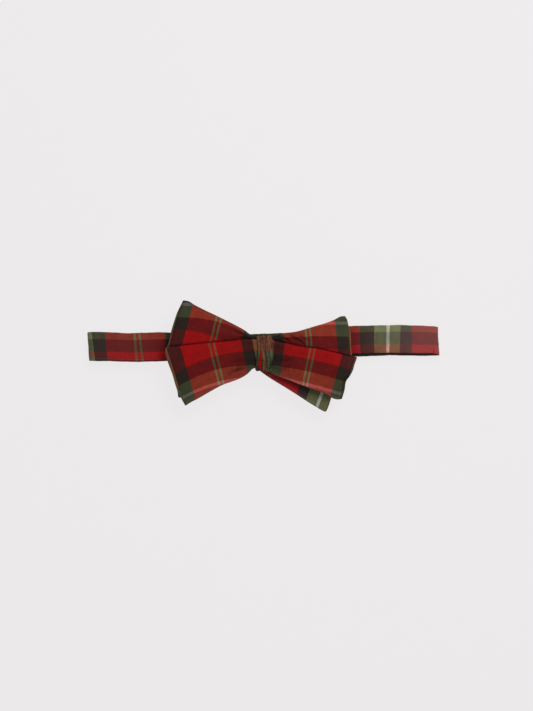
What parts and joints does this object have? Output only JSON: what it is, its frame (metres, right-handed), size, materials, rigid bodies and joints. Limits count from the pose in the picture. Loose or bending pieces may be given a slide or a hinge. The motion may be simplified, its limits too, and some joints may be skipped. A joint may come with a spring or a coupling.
{
  "type": "bow tie",
  "caption": "Pre-tied butterfly bow tie in tartan cotton on an adjustable hook-and-eye neck band, laid flat with the band folded at both ends.",
  "frame": {"origin": "middle of the laid-flat bow tie's box in plan, on the surface that its rear straps lie on", "axes": "+X along the neck band, from the adjustable side to the eye side as seen from the front; +Y up across the band as worn; +Z out of the front of the bow, away from the neck"},
  "size_m": [0.2197, 0.0693, 0.0156],
  "materials": {
    "tartan_cotton": "fine plain-weave cotton poplin, tartan check in red, black and olive with white and green lines",
    "black_lining": "smooth black twill lining, low sheen",
    "stiffener": "unbleached woven interlining",
    "thread": "twisted polyester thread",
    "nickel_steel": "nickel-plated pressed steel, satin"
  },
  "bodies": {
    "bow": {"front_band_lining": "black_lining", "front_band_interlining": "stiffener", "front_band_shell": "tartan_cotton", "front_bow_loop": "tartan_cotton", "bow_loop_interfacing": "stiffener", "rear_bow_blade": "tartan_cotton", "rear_blade_interfacing": "stiffener", "knot_wrap": "tartan_cotton", "gathering_thread": "thread", "knot_seam_stitches": "thread", "band_tack_stitches": "thread"},
    "long_strap": {"long_strap_shell": "tartan_cotton", "long_strap_interlining": "stiffener", "long_strap_lining": "black_lining"},
    "slide": {"adjuster_slide": "nickel_steel", "slide_end_wrap": "tartan_cotton", "slide_end_bartack": "thread"},
    "hook_run": {"return_run_shell": "tartan_cotton", "return_run_interlining": "stiffener", "return_run_lining": "black_lining", "hook_turn_fold": "tartan_cotton"},
    "hook": {"neck_hook": "nickel_steel"},
    "short_strap": {"short_strap_shell": "tartan_cotton", "short_strap_interlining": "stiffener", "short_strap_lining": "black_lining", "eye_end_wrap": "tartan_cotton", "eye_end_bartack": "thread"},
    "eye": {"neck_eye": "nickel_steel"}
  },
  "joints": [
    {"name": "long_strap_fold", "type": "hinge", "parent": "bow", "child": "long_strap", "pos_m": [-0.11, 0.006, 0.0031], "axis": [0, 1, 0], "range_deg": [0, 180]},
    {"name": "slide_travel", "type": "slide", "parent": "long_strap", "child": "slide", "axis": [0.9999, -0.016, 0], "range_m": [0, 0.044], "deforming": ["return_run_shell", "return_run_interlining", "return_run_lining"]},
    {"name": "hook_follow", "type": "slide", "parent": "long_strap", "child": "hook_run", "axis": [0.9999, -0.016, 0], "range_m": [0, 0.022]},
    {"name": "hook_tilt", "type": "hinge", "parent": "hook_run", "child": "hook", "pos_m": [-0.00201, 0.00427, 0.00275], "axis": [0.016, 0.9999, 0], "range_deg": [0, 60]},
    {"name": "short_strap_fold", "type": "hinge", "parent": "bow", "child": "short_strap", "pos_m": [0.11, 0.0091, 0.0031], "axis": [0, -1, 0], "range_deg": [0, 180]},
    {"name": "eye_tilt", "type": "hinge", "parent": "short_strap", "child": "eye", "pos_m": [0.05002, 0.00754, 0.0019], "axis": [0.026, -0.9997, 0], "range_deg": [0, 60]}
  ],
  "couplings": [
    {"joint": "hook_follow", "follows": "slide_travel", "ratio": 0.5}
  ]
}
